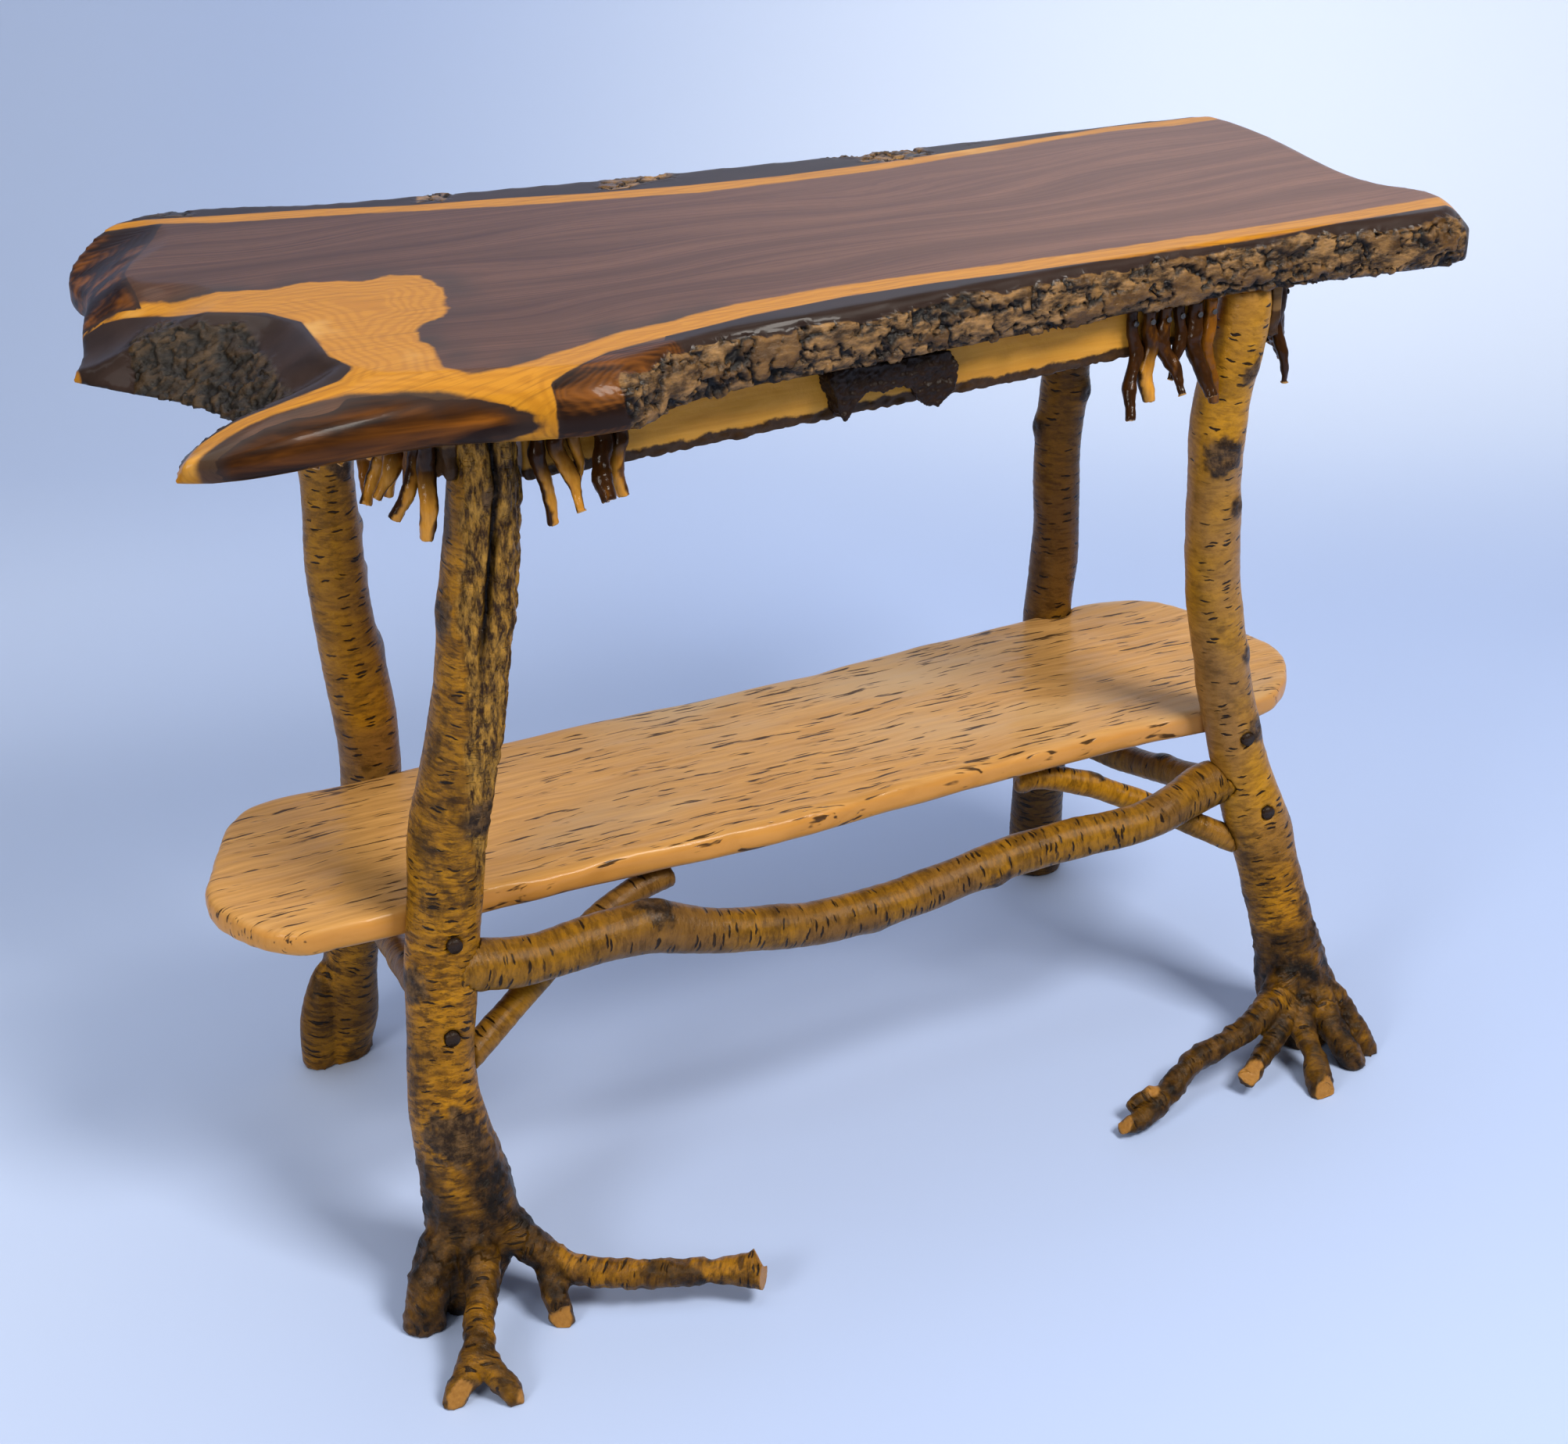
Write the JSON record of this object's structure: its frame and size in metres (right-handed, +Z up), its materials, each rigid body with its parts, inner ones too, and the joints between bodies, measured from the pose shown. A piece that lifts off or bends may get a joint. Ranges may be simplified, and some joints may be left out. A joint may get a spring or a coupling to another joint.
{
  "type": "rustic hall table",
  "caption": "Narrow rustic hall table with a forked live-edge slab top, root-footed trunk legs, a low shelf and a drawer behind a live-edge front.",
  "frame": {"origin": "middle of the bounding box in plan, on the floor", "axes": "+X along the length to the right seen from the drawer side, +Y from the drawer side to the back, +Z up"},
  "size_m": [1.2175, 0.6655, 0.8601],
  "materials": {
    "slab_walnut": "dark heartwood with a golden sapwood band and rough bark edge, gloss varnish",
    "birch_bark": "golden brown bark with dark short marks, gloss varnish",
    "shelf_wood": "tan figured board with short dark streaks, gloss varnish",
    "front_wood": "golden sapwood with a dark live edge, satin varnish",
    "burl_wood": "very dark burl, satin",
    "apron_wood": "dark live-edged board, satin varnish",
    "box_wood": "plain planed board, matte",
    "twig_wood": "split and cut twigs, gloss varnish",
    "plug_wood": "dark round plug, gloss varnish",
    "fastener_steel": "dull steel"
  },
  "bodies": {
    "root": {"top_slab": "slab_walnut", "leg_front_left": "birch_bark", "leg_front_right": "birch_bark", "leg_back_left": "birch_bark", "leg_back_right": "birch_bark", "shelf": "shelf_wood", "stretcher_front": "birch_bark", "side_rail_left": "birch_bark", "side_rail_right": "birch_bark", "brace_left": "birch_bark", "brace_right": "birch_bark", "end_apron_left": "apron_wood", "end_apron_right": "apron_wood", "back_apron": "apron_wood", "drawer_runner_left": "box_wood", "drawer_runner_right": "box_wood", "drawer_guide_left": "box_wood", "drawer_guide_right": "box_wood", "drawer_stop": "box_wood", "twigs_end_left": "twig_wood", "twigs_end_right": "twig_wood", "leg_plugs": "plug_wood", "leg_screws": "fastener_steel", "guide_screws": "fastener_steel", "apron_screws": "fastener_steel", "brace_screws": "fastener_steel", "twig_nails_end": "fastener_steel"},
    "drawer": {"drawer_front": "front_wood", "drawer_pull": "burl_wood", "drawer_side_left": "box_wood", "drawer_side_right": "box_wood", "drawer_back": "box_wood", "drawer_bottom": "box_wood", "pull_dowels": "box_wood", "twigs_front_left": "twig_wood", "twigs_front_right": "twig_wood", "twig_nails_front": "fastener_steel"}
  },
  "joints": [
    {"name": "drawer_slide", "type": "slide", "parent": "root", "child": "drawer", "axis": [0, -1, 0], "range_m": [0, 0.22]}
  ]
}
